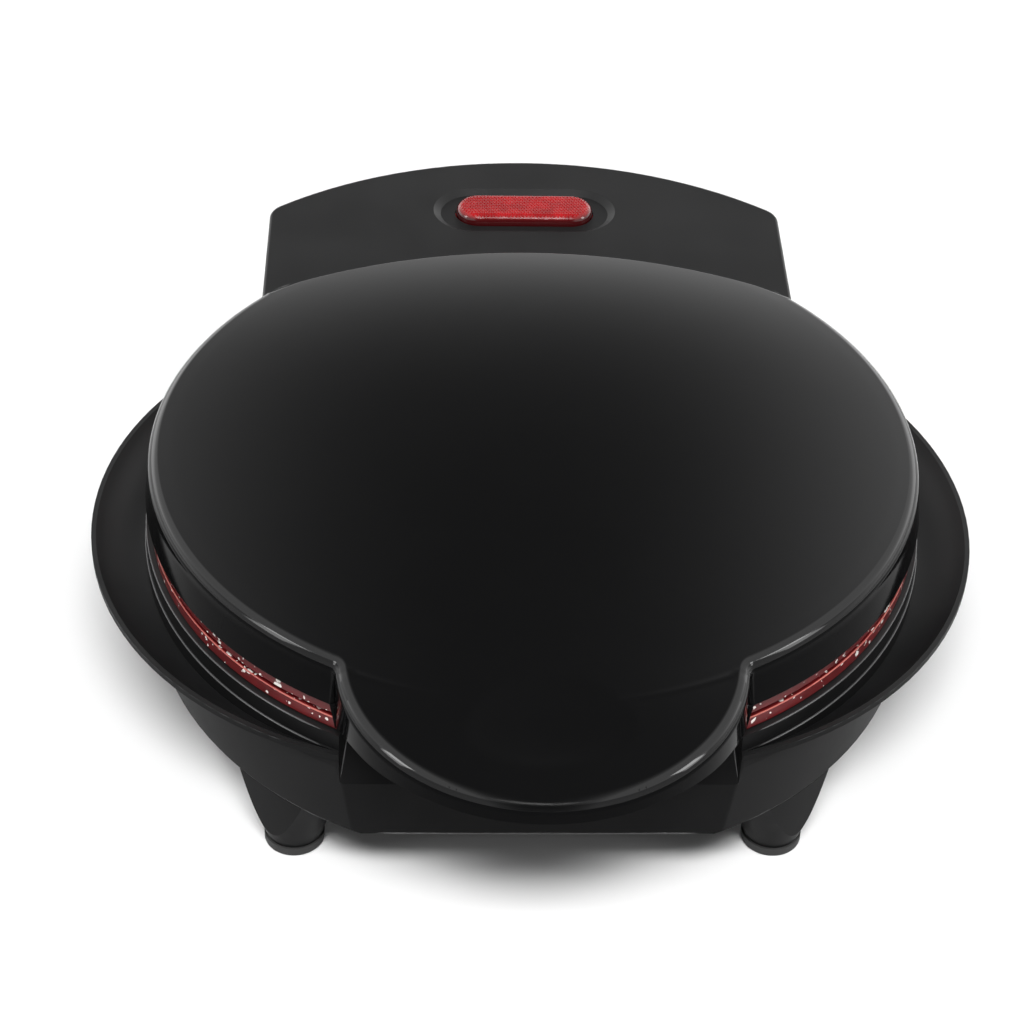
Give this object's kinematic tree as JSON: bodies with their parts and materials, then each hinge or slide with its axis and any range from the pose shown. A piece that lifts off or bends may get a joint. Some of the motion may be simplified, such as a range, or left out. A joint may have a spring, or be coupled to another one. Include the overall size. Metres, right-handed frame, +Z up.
{
  "type": "electric omelette maker",
  "caption": "Round countertop cooker with a hinged domed lid, tongue handle, half-moon cooking wells, side drip wings and an indicator lamp in the rear block.",
  "frame": {"origin": "middle of the bounding box, on the surface that the feet stand on", "axes": "+Z up, -Y towards the handle at the front, +X to the right seen from the front"},
  "size_m": [0.2606, 0.308, 0.095],
  "materials": {
    "black_satin": "satin moulded phenolic",
    "black_gloss": "gloss dome, satin rear block",
    "coated_cast": "cast aluminium, dark red speckled non-stick coating",
    "heater_sheath": "heat-tinted sheath",
    "clip_steel": "plain pressed steel",
    "reflector_sheet": "bright rolled sheet",
    "thermostat_body": "ceramic and steel cup",
    "fuse_body": "metal case",
    "terminal_body": "unglazed",
    "rubber_black": "soft matt",
    "pin_steel": "ground",
    "screw_steel": "zinc plated",
    "lens_red": "translucent, dimpled",
    "holder_white": "moulded",
    "lamp_glass": "clear tube"
  },
  "bodies": {
    "base": {"base_housing": "black_satin", "bottom_cover": "black_satin", "lower_plate": "coated_cast", "lower_heater": "heater_sheath", "lower_heater_clips": "clip_steel", "lower_reflector": "reflector_sheet", "thermostat": "thermostat_body", "thermal_fuse": "fuse_body", "terminal_block": "terminal_body", "cord_gland": "rubber_black", "hinge_pin_left": "pin_steel", "hinge_pin_right": "pin_steel", "bottom_cover_screws": "screw_steel", "lower_plate_screws": "screw_steel", "foot_pad_front_left": "rubber_black", "foot_pad_front_right": "rubber_black", "foot_pad_rear_left": "rubber_black", "foot_pad_rear_right": "rubber_black"},
    "lid": {"lid_cover": "black_gloss", "block_cover": "black_satin", "upper_plate": "coated_cast", "upper_heater": "heater_sheath", "upper_heater_clips": "clip_steel", "upper_reflector": "reflector_sheet", "indicator_lens": "lens_red", "lamp_holder": "holder_white", "neon_lamp": "lamp_glass", "upper_plate_screws": "screw_steel", "block_cover_screws": "screw_steel"}
  },
  "joints": [
    {"name": "lid_hinge", "type": "hinge", "parent": "base", "child": "lid", "pos_m": [0, 0.1208, 0.053], "axis": [-1, 0, 0], "range_deg": [0, 100]}
  ]
}
